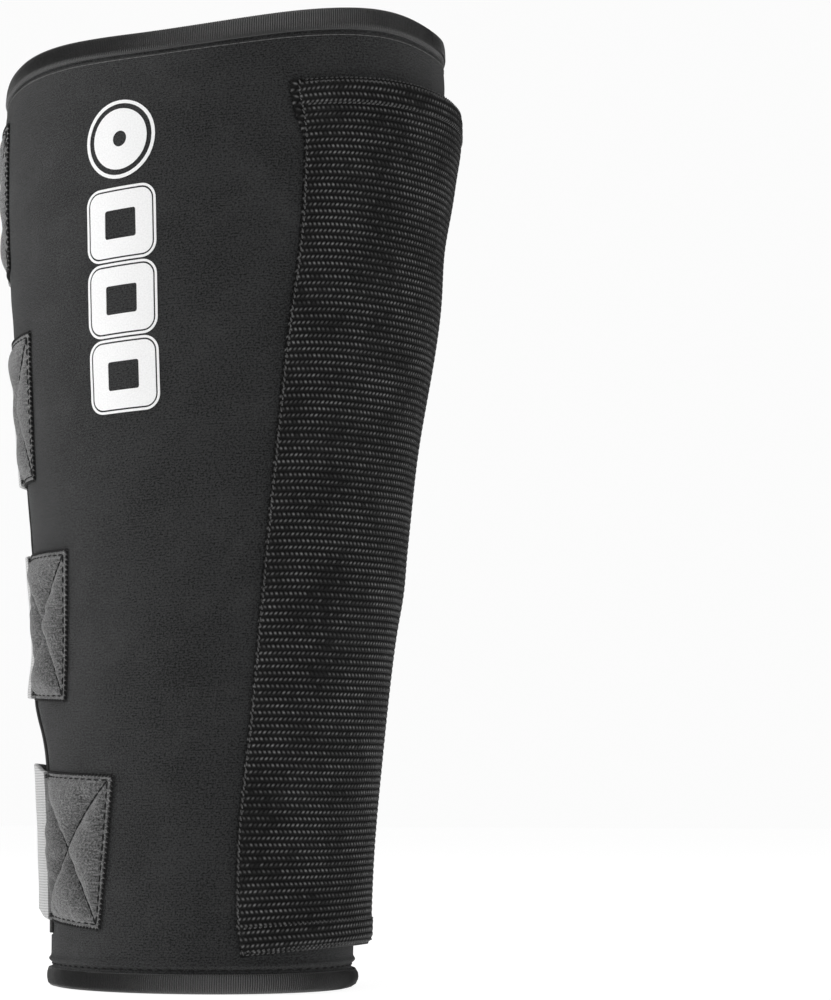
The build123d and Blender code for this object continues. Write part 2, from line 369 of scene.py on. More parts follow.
# ---- Shader building ----
class Graph:
    """Short calls for adding nodes to a material or a node group."""

    def __init__(self, tree):
        self.tree = tree

    def add(self, kind, settings=None, **inputs):
        """A new node with its settings and inputs. An input's name has _ for each space."""
        node = self.tree.nodes.new(kind)
        for key, value in (settings or {}).items():
            setattr(node, key, value)
        for key, value in inputs.items():
            self.feed(node.inputs[key.replace("_", " ")], value)
        return node

    def feed(self, socket, value):
        """Gives a socket a link from another node, or a plain value."""
        if isinstance(value, bpy.types.NodeSocket):
            self.tree.links.new(value, socket)
        else:
            socket.default_value = value

    def math(self, operation, a, b=0.0, c=None, clamp=False):
        """The result of one sum."""
        node = self.tree.nodes.new("ShaderNodeMath")
        node.operation = operation
        node.use_clamp = clamp
        for socket, value in zip(node.inputs, (a, b) if c is None else (a, b, c)):
            self.feed(socket, value)
        return node.outputs[0]

    def arch(self, place):
        """1 in the middle of a cell and 0 at its edges, for a place from -0.5 to 0.5."""
        doubled = self.math("ABSOLUTE", self.math("MULTIPLY", place, 2.0))
        return self.math("SUBTRACT", 1.0, self.math("POWER", doubled, 2.0))

    def blend(self, share, low, high):
        """Two colours mixed by a share."""
        node = self.tree.nodes.new("ShaderNodeMix")
        node.data_type = "RGBA"
        self.feed(node.inputs[0], share)
        self.feed(node.inputs[6], low)
        self.feed(node.inputs[7], high)
        return node.outputs[2]

    def between(self, value, low, high, out_low=0.0, out_high=1.0):
        """A value carried from one range to another, and held at the ends."""
        node = self.tree.nodes.new("ShaderNodeMapRange")
        for socket, part in zip(node.inputs, (value, low, high, out_low, out_high)):
            self.feed(socket, part)
        return node.outputs[0]

    def split(self, vector):
        """The first and second axis of a map."""
        node = self.add("ShaderNodeSeparateXYZ", Vector=vector)
        return node.outputs[0], node.outputs[1]

    def join(self, x, y):
        """A map made from two axes."""
        return self.add("ShaderNodeCombineXYZ", X=x, Y=y).outputs[0]

    def noise(self, vector, scale, detail=2.0, roughness=0.5):
        """Soft noise from 0 to 1."""
        node = self.add("ShaderNodeTexNoise", Vector=vector, Scale=scale, Detail=detail,
                        Roughness=roughness)
        return node.outputs[0]


def node_group(name, inputs, outputs):
    """An empty shader group with named sockets. Returns it, its graph, its inputs and its output."""
    tree = bpy.data.node_groups.new(name, "ShaderNodeTree")
    for socket, (kind, value) in inputs.items():
        made = tree.interface.new_socket(socket, in_out="INPUT", socket_type=kind)
        if value is not None:
            made.default_value = value
    for socket, kind in outputs.items():
        tree.interface.new_socket(socket, in_out="OUTPUT", socket_type=kind)
    graph = Graph(tree)
    start = tree.nodes.new("NodeGroupInput").outputs
    end = tree.nodes.new("NodeGroupOutput").inputs
    return tree, graph, start, end


NUMBER, VECTOR = "NodeSocketFloat", "NodeSocketVector"


def make_webbing_weave():
    """Rows of short slanting floats, leaning one way and then the other, with a painted highlight dot on
    the top of each float.
    """
    tree, g, given, out = node_group(
        "webbing_weave",
        {"Cloth": (VECTOR, None), "Row Pitch": (NUMBER, WEBBING_ROW),
         "Float Pitch": (NUMBER, WEBBING_FLOAT), "Lean": (NUMBER, FLOAT_LEAN)},
        {"Height": NUMBER, "Painted Glint": NUMBER})
    u, v = g.split(given["Cloth"])
    sway = g.math("MULTIPLY", g.math("SINE", g.math("MULTIPLY", u, ROW_SWAY_TURN)), ROW_SWAY)
    row = g.math("DIVIDE", g.math("ADD", v, sway), given["Row Pitch"])
    row_number = g.math("FLOOR", row)
    in_row = g.math("SUBTRACT", g.math("FRACT", row), 0.5)
    odd = g.math("FLOORED_MODULO", row_number, 2.0)
    lean = g.math("MULTIPLY", g.math("MULTIPLY_ADD", odd, 2.0, -1.0), given["Lean"])
    shifted = g.math("MULTIPLY_ADD", odd, 0.5, g.math("DIVIDE", u, given["Float Pitch"]))
    column = g.math("ADD", shifted, g.math("MULTIPLY", lean, in_row))
    in_column = g.math("SUBTRACT", g.math("FRACT", column), 0.5)
    row_rise, column_rise = g.arch(in_row), g.arch(in_column)
    height = g.math("MULTIPLY", row_rise, g.math("SQRT", g.math("MAXIMUM", column_rise, 0.0)))
    # Painted highlight: a small bright dot on each float's top, given in the colour, stronger on some
    # floats than on others.
    luck = g.add("ShaderNodeTexWhiteNoise", {"noise_dimensions": "2D"},
                 Vector=g.join(g.math("FLOOR", column), row_number)).outputs[0]
    patchy = g.between(g.noise(given["Cloth"], 0.06, 3.0), 0.38, 0.62)
    strength = g.math("MULTIPLY_ADD", luck, 0.55, g.math("MULTIPLY", patchy, 0.45))
    dot = g.math("MULTIPLY", g.math("POWER", row_rise, 7.0), g.math("POWER", column_rise, 3.5))
    painted_glint = g.math("MULTIPLY", dot, strength, clamp=True)
    g.feed(out["Height"], height)
    g.feed(out["Painted Glint"], painted_glint)
    return tree


def make_rib_lines():
    """Even raised lines across the cloth map's first axis."""
    tree, g, given, out = node_group(
        "rib_lines", {"Cloth": (VECTOR, None), "Pitch": (NUMBER, 0.8), "Waver": (NUMBER, 0.1)},
        {"Height": NUMBER})
    u, _ = g.split(given["Cloth"])
    uneven = g.math("SUBTRACT", g.noise(given["Cloth"], 0.15, 2.0), 0.5)
    drift = g.math("MULTIPLY", uneven, given["Waver"])
    line = g.math("FRACT", g.math("DIVIDE", g.math("ADD", u, drift), given["Pitch"]))
    rise = g.math("SINE", g.math("MULTIPLY", line, math.pi))
    g.feed(out["Height"], g.math("POWER", g.math("MAXIMUM", rise, 0.0), 0.7))
    return tree


def make_heather():
    """Uneven fibre tone: fine specks, longer streaks along the cloth and broad soft patches."""
    tree, g, given, out = node_group(
        "heather", {"Cloth": (VECTOR, None), "Speck": (NUMBER, 2.6), "Streak": (NUMBER, 0.35)},
        {"Tone": NUMBER, "Fuzz": NUMBER})
    u, v = g.split(given["Cloth"])
    specks = g.noise(given["Cloth"], given["Speck"], 2.0, 0.7)
    stretched = g.join(g.math("MULTIPLY", u, given["Streak"]), v)
    streaks = g.noise(stretched, given["Speck"], 3.0, 0.65)
    broad = g.noise(given["Cloth"], 0.035, 3.0)
    tone = g.math("ADD", g.math("MULTIPLY", specks, 0.4), g.math("MULTIPLY", streaks, 0.4))
    g.feed(out["Tone"], g.math("MULTIPLY_ADD", broad, 0.1, g.math("ADD", tone, 0.05)))
    g.feed(out["Fuzz"], g.noise(given["Cloth"], 4.5, 3.0, 0.75))
    return tree


def make_lint():
    """Sparse pale lint and handling dust."""
    tree, g, given, out = node_group(
        "lint", {"Cloth": (VECTOR, None), "Amount": (NUMBER, 0.3)}, {"Mask": NUMBER})
    cells = g.add("ShaderNodeTexVoronoi", {"feature": "F1"}, Vector=given["Cloth"], Scale=0.42)
    dot = g.between(cells.outputs["Distance"], 0.1, 0.03)
    chosen = g.math("GREATER_THAN", g.noise(cells.outputs["Position"], 3.1, 0.0), 0.62)
    dust = g.between(g.noise(given["Cloth"], 0.05, 4.0, 0.7), 0.5, 0.75)
    both = g.math("ADD", g.math("MULTIPLY", dot, chosen), g.math("MULTIPLY", dust, 0.35))
    g.feed(out["Mask"], g.math("MULTIPLY", both, given["Amount"], clamp=True))
    return tree


GROUPS = {"weave": make_webbing_weave(), "ribs": make_rib_lines(), "heather": make_heather(),
          "lint": make_lint()}


def new_material(name, roughness, sheen=0.0, sheen_roughness=0.5, specular=0.3, mapped=True):
    """A material with its graph, its shader and its cloth map in mm, or its place in mm if not mapped."""
    material = bpy.data.materials.new(name)
    material.use_nodes = True
    tree = material.node_tree
    shader = tree.nodes["Principled BSDF"]
    shader.inputs["Roughness"].default_value = roughness
    shader.inputs["Sheen Weight"].default_value = sheen
    shader.inputs["Sheen Roughness"].default_value = sheen_roughness
    shader.inputs["Specular IOR Level"].default_value = specular
    graph = Graph(tree)
    if mapped:
        cloth = graph.add("ShaderNodeUVMap", {"uv_map": "cloth"}).outputs[0]
    else:
        solid = graph.add("ShaderNodeTexCoord").outputs["Object"]
        scaled = graph.add("ShaderNodeVectorMath", {"operation": "SCALE"}, Vector=solid, Scale=1 / MM)
        cloth = scaled.outputs[0]
    return material, graph, shader, cloth


def use_group(graph, name, **inputs):
    """Places one of the shared effects in a material and gives its outputs."""
    return graph.add("ShaderNodeGroup", {"node_tree": GROUPS[name]}, **inputs).outputs


def raise_surface(graph, shader, height, distance):
    """Feeds a height to the shader's normal. distance is what a height of 1 stands for, in mm."""
    bump = graph.add("ShaderNodeBump", Height=height, Distance=distance * MM)
    graph.feed(shader.inputs["Normal"], bump.outputs[0])


def fuzzy_roughness(graph, shader, fibres, smooth, rough):
    """Roughness that follows the cloth's fuzz."""
    graph.feed(shader.inputs["Roughness"], graph.between(fibres["Fuzz"], 0.3, 0.7, smooth, rough))


def linted(graph, shader, cloth, base, amount, fluff):
    """Base Color with a little lint lying over it."""
    mask = use_group(graph, "lint", Cloth=cloth, Amount=amount)["Mask"]
    graph.feed(shader.inputs["Base Color"], graph.blend(mask, base, grey(fluff)))


def grey(value, warmth=0.0):
    """A grey, a little warm or, where negative, a little cool."""
    return (value * (1 + warmth), value, value * (1 - warmth), 1)


def neoprene_material():
    """Knit jersey over neoprene: fine courses and wales, heathered and a little linty."""
    material, g, shader, cloth = new_material("neoprene_jersey", 0.82, sheen=0.14,
                                              sheen_roughness=0.35, specular=0.18)
    fibres = use_group(g, "heather", Cloth=cloth, Speck=1.65, Streak=0.75)
    u, v = g.split(cloth)
    courses = use_group(g, "ribs", Cloth=g.join(v, u), Pitch=0.82, Waver=1.6)["Height"]
    wales = use_group(g, "ribs", Cloth=cloth, Pitch=0.62, Waver=1.2)["Height"]
    knit = g.math("MULTIPLY", courses, g.math("MULTIPLY_ADD", wales, 0.4, 0.6))
    # Painted shade: the knit's grooves are coloured a little darker than its raised loops.
    tone = g.math("ADD", g.math("MULTIPLY", fibres["Tone"], 0.95), g.math("MULTIPLY", knit, 0.05))
    base = g.blend(g.between(tone, 0.43, 0.55), grey(0.005, -0.02), grey(0.043, -0.02))
    linted(g, shader, cloth, base, 0.25, 0.16)
    fuzzy_roughness(g, shader, fibres, 0.72, 0.92)
    grain = g.math("MULTIPLY_ADD", fibres["Fuzz"], 2.6, g.math("MULTIPLY", knit, 0.3))
    raise_surface(g, shader, grain, 0.16)
    return material


def rib_knit_material():
    """The folded strip at the rim and the hem."""
    material, g, shader, cloth = new_material("rib_knit_strip", 0.85, sheen=0.36, specular=0.14)
    fibres = use_group(g, "heather", Cloth=cloth, Speck=2.4, Streak=1.6)
    ribs = use_group(g, "ribs", Cloth=cloth, Pitch=0.375, Waver=0.1)["Height"]
    # Painted shade: the valleys between the ribs are coloured darker than the rib tops.
    tone = g.math("ADD", g.math("MULTIPLY", fibres["Tone"], 0.7), g.math("MULTIPLY", ribs, 0.3))
    base = g.blend(g.between(tone, 0.4, 0.68), grey(0.004), grey(0.06))
    linted(g, shader, cloth, base, 0.25, 0.16)
    fuzzy_roughness(g, shader, fibres, 0.75, 0.95)
    raise_surface(g, shader, g.math("MULTIPLY_ADD", ribs, 2.0, fibres["Fuzz"]), 0.1)
    return material


def webbing_material():
    """The pocket's coarse webbing: a near-black base with painted highlight dots on its floats."""
    material, g, shader, cloth = new_material("shin_webbing", 0.5, specular=0.14)
    weave = use_group(g, "weave", Cloth=cloth)
    fibres = use_group(g, "heather", Cloth=cloth, Speck=2.2, Streak=0.6)
    base = g.blend(fibres["Tone"], grey(0.002), grey(0.006))
    # The painted highlight dots turn the floats' tops pale grey in the colour.
    painted_glint_colour = g.blend(weave["Painted Glint"], base, grey(0.2))
    linted(g, shader, cloth, painted_glint_colour, 0.15, 0.12)
    g.feed(shader.inputs["Roughness"], g.between(weave["Height"], 0.0, 1.0, 0.75, 0.42))
    height = g.math("MULTIPLY_ADD", fibres["Fuzz"], 0.25, weave["Height"])
    raise_surface(g, shader, height, 0.35)
    return material


def elastic_material(name, low, high, pitch, sheen, across_ribs=0.0, depth=0.16):
    """Woven elastic with ribs along its length and, on some, finer ribs across."""
    material, g, shader, cloth = new_material(name, 0.7, sheen=sheen, specular=0.25)
    fibres = use_group(g, "heather", Cloth=cloth, Speck=2.2, Streak=0.4)
    u, v = g.split(cloth)
    ribs = use_group(g, "ribs", Cloth=g.join(v, u), Pitch=pitch, Waver=0.15)["Height"]
    cross = use_group(g, "ribs", Cloth=cloth, Pitch=pitch * 0.6, Waver=0.1)["Height"]
    pattern = g.math("MULTIPLY", ribs, g.math("MULTIPLY_ADD", cross, across_ribs, 1.0 - across_ribs))
    # Painted shade: the grooves between the ribs are coloured darker than the ribs.
    tone = g.math("ADD", g.math("MULTIPLY", fibres["Tone"], 0.55), g.math("MULTIPLY", pattern, 0.45))
    base = g.blend(g.between(tone, 0.25, 0.8), low, high)
    linted(g, shader, cloth, base, 0.2, 0.3)
    fuzzy_roughness(g, shader, fibres, 0.6, 0.85)
    raise_surface(g, shader, g.math("MULTIPLY_ADD", fibres["Fuzz"], 0.3, pattern), depth)
    return material


def brushed_material():
    """The patches' brushed loop cloth, grey with dark specks."""
    material, g, shader, cloth = new_material("brushed_loop", 0.9, sheen=0.5,
                                              sheen_roughness=0.4, specular=0.12)
    fibres = use_group(g, "heather", Cloth=cloth, Speck=1.5, Streak=0.8)
    specks = g.between(g.noise(cloth, 1.8, 3.0, 0.8), 0.4, 0.5)
    base = g.blend(g.between(fibres["Tone"], 0.43, 0.58), grey(0.06), grey(0.255))
    dark = g.blend(specks, grey(0.03), base)
    linted(g, shader, cloth, dark, 0.3, 0.33)
    fuzzy_roughness(g, shader, fibres, 0.82, 0.98)
    raise_surface(g, shader, g.math("ADD", fibres["Fuzz"], specks), 0.12)
    return material


def plain_weave_material(name, low, high, pitch, sheen=0.08):
    """Close plain-woven tape or thread. pitch is its yarns' spacing in mm."""
    material, g, shader, cloth = new_material(name, 0.72, sheen=sheen, specular=0.25)
    fibres = use_group(g, "heather", Cloth=cloth, Speck=2.6, Streak=1.0)
    weave = use_group(g, "weave", Cloth=cloth, Row_Pitch=pitch, Float_Pitch=pitch, Lean=0.0)
    # Painted shade: the dips between the yarns are coloured darker than the yarns' crowns.
    yarns = g.math("MULTIPLY", weave["Height"], 0.4)
    tone = g.math("ADD", g.math("MULTIPLY", fibres["Tone"], 0.6), yarns)
    g.feed(shader.inputs["Base Color"], g.blend(g.between(tone, 0.25, 0.8), low, high))
    fuzzy_roughness(g, shader, fibres, 0.62, 0.85)
    raise_surface(g, shader, g.math("MULTIPLY_ADD", fibres["Fuzz"], 0.3, weave["Height"]), 0.08)
    return material


def print_material():
    """White ink, a little thin where the jersey's grain shows through."""
    material, g, shader, cloth = new_material("printed_ink", 0.5, specular=0.4)
    fibres = use_group(g, "heather", Cloth=cloth, Speck=1.8, Streak=1.0)
    base = g.blend(g.between(fibres["Tone"], 0.3, 0.6), grey(0.84), grey(0.96))
    g.feed(shader.inputs["Base Color"], base)
    fuzzy_roughness(g, shader, fibres, 0.45, 0.65)
    raise_surface(g, shader, fibres["Fuzz"], 0.05)
    return material


def foam_material():
    """Closed-cell foam inside the pocket."""
    material, g, shader, cloth = new_material("closed_cell_foam", 0.9, specular=0.2)
    bubbles = g.add("ShaderNodeTexVoronoi", {"feature": "F1"}, Vector=cloth, Scale=1.4)
    cells = bubbles.outputs["Distance"]
    fibres = use_group(g, "heather", Cloth=cloth, Speck=1.2, Streak=1.0)
    g.feed(shader.inputs["Base Color"], g.blend(fibres["Tone"], grey(0.05), grey(0.11)))
    g.feed(shader.inputs["Roughness"], g.between(cells, 0.0, 0.6, 0.95, 0.8))
    raise_surface(g, shader, cells, 0.2)
    return material


def plate_material():
    """The stiff sheet inside the pocket."""
    material, g, shader, cloth = new_material("polyethylene_sheet", 0.4, specular=0.45, mapped=False)
    fibres = use_group(g, "heather", Cloth=cloth, Speck=0.5, Streak=0.15)
    g.feed(shader.inputs["Base Color"], g.blend(fibres["Tone"], grey(0.5), grey(0.66)))
    g.feed(shader.inputs["Roughness"], g.between(fibres["Tone"], 0.3, 0.7, 0.32, 0.5))
    raise_surface(g, shader, fibres["Fuzz"], 0.03)
    return material


MATERIALS = {
    "neoprene": neoprene_material(),
    "rib_knit": rib_knit_material(),
    "webbing": webbing_material(),
    "black_elastic": elastic_material("black_ribbed_elastic", grey(0.004), grey(0.035), GUSSET_RIB,
                                      0.2, 0.3),
    "grey_elastic": elastic_material("grey_ribbed_elastic", grey(0.26), grey(0.62), TAPE_RIB,
                                     0.2, 0.5, 0.1),
    "grey_tab": elastic_material("grey_woven_tape", grey(0.28), grey(0.55), TAPE_RIB, 0.2, 0.6, 0.08),
    "brushed": brushed_material(),
    "edge_tape": plain_weave_material("smooth_edge_tape", grey(0.006), grey(0.03), 0.7),
    "hook": plain_weave_material("hook_backing", grey(0.006), grey(0.03), 0.9),
    "thread": plain_weave_material("black_thread", grey(0.003), grey(0.016), 0.5, 0.05),
    "pale_thread_painted_highlight": plain_weave_material("pale_thread_painted_highlight", grey(0.06), grey(0.2), 0.5, 0.05),
    "webbing_thread": plain_weave_material("webbing_thread", grey(0.03), grey(0.12), 0.5, 0.05),
    "print": print_material(),
    "foam": foam_material(),
    "plate": plate_material(),
}


# ---- The sleeve ----
MM_A_DEGREE = 1.1            # roughly, for patterns that need no exact girth
COVER_CLEARANCE = 58         # the dents begin this many degrees from the shin, beside the pocket
# Beads and creases that run right round: level, spread and height, in mm.
SLEEVE_RINGS = ((9.2, 0.8, 0.75), (7.4, 0.7, -0.9), (HEIGHT - 8.2, 0.6, -0.9))
# Single folds and dimples: angle and its spread in degrees, level and its spread, height.
SLEEVE_FOLDS = ((143, 5.0, 84, 9.0, 0.5), (118, 9.0, 17.5, 2.2, -0.5))


def sleeve_relief(angle, level):
    """The neoprene's own unevenness, in mm: soft dents between the straps and a fold at the calf."""
    angle = np.asarray(angle, float)
    around = angle * MM_A_DEGREE
    dents = 0.28 * soft_noise(around, level, 11, longest=90.0)
    ripples = 0.16 * soft_noise(around * 0.6, level, 17, count=9, longest=26.0)
    relief = (dents + ripples) * smooth_step(0, 12, from_shin(angle) - COVER_CLEARANCE)
    for middle, spread, fold_level, fold_spread, height in SLEEVE_FOLDS:
        relief = relief + height * hill(angle, middle, spread) * hill(level, fold_level, fold_spread)
    return relief + hills(level, SLEEVE_RINGS)


def make_panel(name, node, side):
    """One neoprene half of the sleeve, from the shin seam to the calf. side is 1 for the outer half."""
    inside_binding = 1.65    # the neoprene's cut edges lie this far inside the bindings
    hair = 0.01              # room for rounding where a row lies on the window's end
    end_rows, window_rows = 42, 170
    levels = np.concatenate([np.linspace(inside_binding, WINDOW_BOTTOM, end_rows)[:-1],
                             np.linspace(WINDOW_BOTTOM, WINDOW_TOP, window_rows)[:-1],
                             np.linspace(WINDOW_TOP, HEIGHT - inside_binding, end_rows)])[:, None]
    beside, behind = 90, 12    # columns up to the calf window, and on behind the calf
    edge = window_outer_edge(levels) if side > 0 else 360 - window_inner_edge(levels)
    angle = np.concatenate([mix(0.0, edge, np.linspace(0, 1, beside)[None, :] ** 0.85),
                            mix(edge, 180.0, np.linspace(0, 1, behind)[None, 1:])], axis=1)
    if side < 0:
        angle, edge = 360 - angle[:, ::-1], 360 - edge
    level = np.broadcast_to(levels, angle.shape)
    keep = np.ones((angle.shape[0] - 1, angle.shape[1] - 1), bool)
    in_window = (levels[:-1, 0] >= WINDOW_BOTTOM - hair) & (levels[1:, 0] <= WINDOW_TOP + hair)
    columns = np.arange(angle.shape[1] - 1)
    beyond = columns >= beside - 1 if side > 0 else columns < behind - 1
    keep[np.ix_(in_window, beyond)] = False
    relief = sleeve_relief(angle, level)
    to_edge = np.abs(girth_between(angle, np.broadcast_to(edge, angle.shape), level))
    beside_window = (level > WINDOW_BOTTOM - hair) & (level < WINDOW_TOP + hair)
    drop = np.where(beside_window, rounded_edge(to_edge, 1.2), 0)
    outer = on_sleeve(angle, level, relief - drop)
    inner = on_sleeve(angle, level, -NEOPRENE + drop)
    uv = np.stack([from_shin_seam(angle, level), level], -1)
    panel = cloth_shell(name, outer, inner, uv, keep)
    finish_piece(panel, MATERIALS["neoprene"], "sleeve", [node])


RIB_PITCH, RIB_RIDGE = 0.75, 0.26    # the knit strips' ribs, and how far they stand up
POINTS_A_RIB = 4
BINDING_FULLNESS = 0.35      # how far the folded strip bulges over its edge


def binding_section(top):
    """A strip's section, outer hem to inner hem round the edge: height from the edge, and offset."""
    full = BINDING_FULLNESS
    return [(top, 0.1), (top - 0.1, 0.7), (top - 0.6, 1.1), (top - 1.6, 1.45 + full),
            (top * 0.56, 1.6 + full), (2.6, 1.45 + full), (1.2, 0.7 + full), (0.35, -0.3), (0.0, -1.5),
            (0.0, -2.5), (0.0, -3.6), (0.35, -5.0), (1.2, -6.25), (3.0, -6.6), (5.0, -6.6), (6.9, -6.3),
            (7.4, -5.7), (7.4, -5.15)]


def make_binding(name, node, at_top):
    """A rib-knit strip folded over the rim or the hem, with its ribs as real ridges."""
    edge_level = HEIGHT if at_top else 0.0
    girth = float(girth_between(np.array(0.0), np.array(360.0), edge_level))
    columns = int(round(girth / RIB_PITCH)) * POINTS_A_RIB
    # Angles evenly spaced along the girth.
    degrees = np.linspace(0, 360, 721)
    steps = girth_between(degrees[:-1], degrees[1:], edge_level)
    travelled = np.concatenate([[0.0], np.cumsum(steps)])
    angle = np.interp(np.arange(columns) / columns * travelled[-1], travelled, degrees)
    ridge = RIB_RIDGE * np.cos(2 * math.pi * np.arange(columns) / POINTS_A_RIB)
    # The outside lies flatter than the section, except over the front of the hem.
    fullness = 0.45 if at_top else 0.4 + 0.6 * hill(from_shin(angle), 0, 40)
    section = binding_section(7.5 if at_top else 6.3)
    rows = []
    for height, offset in section:
        rise = ridge if 0.01 < height < 6.7 else ridge * 0
        outward = 1 if offset > -2.5 else -1
        wobble = 0
        if offset > 0.2:
            offset = 0.1 + (offset - 0.1) * fullness
            wobble = 0.3 * soft_noise(angle, height, 21, longest=50.0)
        level = HEIGHT - height if at_top else height
        rows.append(on_sleeve(angle, level, offset + rise * outward + wobble))
    grid = np.stack(rows, axis=1)
    if at_top:
        grid = grid[:, ::-1]
    along = np.arange(columns + 1) / columns * girth
    across = np.concatenate([[0], np.cumsum(np.hypot(*np.diff(np.array(section), axis=0).T))])
    across = np.append(across, across[-1] + NEOPRENE)
    uv = np.stack(np.broadcast_arrays(along[:, None], across[None, :]), -1)
    strip = closed_tube(name, grid, uv)
    finish_piece(strip, MATERIALS["rib_knit"], "sleeve", [node])


GUSSET_BOTTOM, GUSSET_TOP = 9.0, 306.0
GUSSET_SEAM = 8.0            # the gusset is sewn this far in behind the window's edges


def make_gusset():
    """Black ribbed elastic behind the calf window, a little gathered."""
    levels = np.arange(GUSSET_BOTTOM, GUSSET_TOP, 0.375)[:, None]
    start = walk(window_outer_edge(levels), levels, -GUSSET_SEAM)
    end = walk(window_inner_edge(levels), levels, GUSSET_SEAM)
    across = np.linspace(0, 1, 40)[None, :]
    angle = mix(start, end, across)
    level = np.broadcast_to(levels, angle.shape)
    ribs = 0.28 * np.cos(2 * math.pi * level / GUSSET_RIB)
    gather = 0.35 * np.sin(level / 4.2 + 2.0 * np.sin(level / 23)) * np.sin(math.pi * across)
    around = from_first_column(angle, level)
    outer = on_sleeve(angle, level, -NEOPRENE - 0.75 + ribs + gather)
    inner = on_sleeve(angle, level, -NEOPRENE - 1.75 + gather)
    gusset = cloth_shell("calf_gusset", outer, inner, np.stack([around, level], -1))
    finish_piece(gusset, MATERIALS["black_elastic"], "sleeve", ["rear_gusset"])


# The edge tape's section: distance past the window's edge, and offset from the sleeve, in mm.
TAPE_SECTION = ((-2.9, 0.05), (-2.8, 0.55), (-2.2, 0.85), (-1.0, 1.0), (0.2, 0.95), (0.9, 0.5),
                (1.1, -0.6), (1.1, -2.5), (1.1, -4.4), (0.8, -4.95), (0.35, -4.9), (0.3, -2.5),
                (0.2, -0.2), (-0.6, 0.05))


def make_edge_tape(name, node, edge, side):
    """Smooth tape folded round one long edge of the calf window."""
    levels = np.linspace(WINDOW_BOTTOM + 1, WINDOW_TOP - 1, 190)
    ripple = 0.12 * soft_noise(levels, levels * 0, 31 + side, longest=14.0)
    grid = np.stack([on_sleeve(walk(edge(levels), levels, side * along), levels,
                               offset + (ripple if offset > 0.3 else 0))
                     for along, offset in TAPE_SECTION], axis=1)
    if side < 0:
        grid = grid[:, ::-1]
    count = len(TAPE_SECTION)
    first = np.arange((len(levels) - 1) * count).reshape(-1, count)
    second = np.roll(first, -1, axis=1)
    faces = np.stack([first, second, second + count, first + count], -1).reshape(-1, 4)
    steps = np.arange(count, dtype=float)
    uv = np.stack(np.broadcast_arrays(steps[None, :], levels[:, None]), -1).reshape(-1, 2)
    tape = new_piece(name, grid.reshape(-1, 3), faces, uv)
    finish_piece(tape, MATERIALS["edge_tape"], "sleeve", [node])


def binding_seams():
    """The thread line along each knit strip's edge. The rim's is a thin, nearly unbroken pale line, a
    painted highlight along the neoprene's edge under the strip.
    """
    angles = np.linspace(0, 360, 500)
    rim_level, hem_level = HEIGHT - 9.4, 7.6
    rim = seam_on_sleeve(angles, rim_level, 0.12 + sleeve_relief(angles, rim_level))
    # Painted highlight: a pale, nearly unbroken line just under the rim strip.
    painted_highlight_line = thread_stitches("rim_painted_highlight_line", [rim], radius=0.17, length=3.0, gap=0.05, lift=0.05)
    finish_piece(painted_highlight_line, MATERIALS["pale_thread_painted_highlight"], "sleeve")
    hem = seam_on_sleeve(angles, hem_level, 0.1 + sleeve_relief(angles, hem_level))
    dark = thread_stitches("hem_thread", [hem], radius=0.32, length=2.4, gap=1.2, lift=0.5)
    finish_piece(dark, MATERIALS["thread"], "sleeve")


binding_seams()
make_panel("lateral_panel_foam", "lateral_panel", 1)
make_panel("medial_panel_foam", "medial_panel", -1)
make_binding("rim_strip", "rim_binding", True)
make_binding("hem_strip", "hem_binding", False)
make_gusset()
make_edge_tape("lateral_window_tape", "lateral_edge_tape", window_outer_edge, 1)
make_edge_tape("medial_window_tape", "medial_edge_tape", window_inner_edge, -1)


# ---- The shin pocket ----
# Where the pad under the pocket swells or, where negative, is hollow: level, spread and height, in mm.
PAD_SWELLS = ((246, 15.0, -1.6), (178, 26.0, -1.3), (281, 8.0, 0.8), (130, 10.0, 0.6), (50, 25.0, -0.5))
# How the pocket's sewn sides bow out: level and spread in mm, degrees.
SIDE_BOWS = ((52, 26.0, 1.5), (12, 9.0, -2.4), (293, 14.0, 3.4), (240, 22.0, -0.9))


def cover_height(across, level):
    """How proud the pocket stands, for -1 to 1 across it."""
    return COVER_EDGE + (COVER_RISE + hills(level, PAD_SWELLS)) * (1 - across ** 4)


def cover_end_drop(level):
    """How far the pocket's two sewn ends roll down to the neoprene."""
    return rounded_edge(np.minimum(level - COVER_BOTTOM, COVER_TOP - level), 4.0)


def cover_side(level):
    """Half the pocket's wrap in degrees, with the gentle bow of its sewn sides."""
    return cover_edge(level) + hills(level, SIDE_BOWS)


def cover_rim_shift(across, level):
    """How the two sewn ends of the pocket curve: the bottom sags towards its corners."""
    near_foot, near_head = smooth_step(60, 12, level), smooth_step(250, 293, level)
    return (1.6 - 2.4 * across ** 2) * near_foot - across ** 2 * near_head


def webbing_relief(u, level):
    """The rows of slanting floats as height from 0 to 1, in step with the webbing's own pattern."""
    row = (level + ROW_SWAY * np.sin(u * ROW_SWAY_TURN)) / WEBBING_ROW
    in_row = row - np.floor(row) - 0.5
    odd = np.mod(np.floor(row), 2)
    column = u / WEBBING_FLOAT + odd * 0.5 + (odd * 2 - 1) * FLOAT_LEAN * in_row
    in_column = column - np.floor(column) - 0.5
    return (1 - (2 * in_row) ** 2) * np.sqrt(np.clip(1 - (2 * in_column) ** 2, 0, 1))


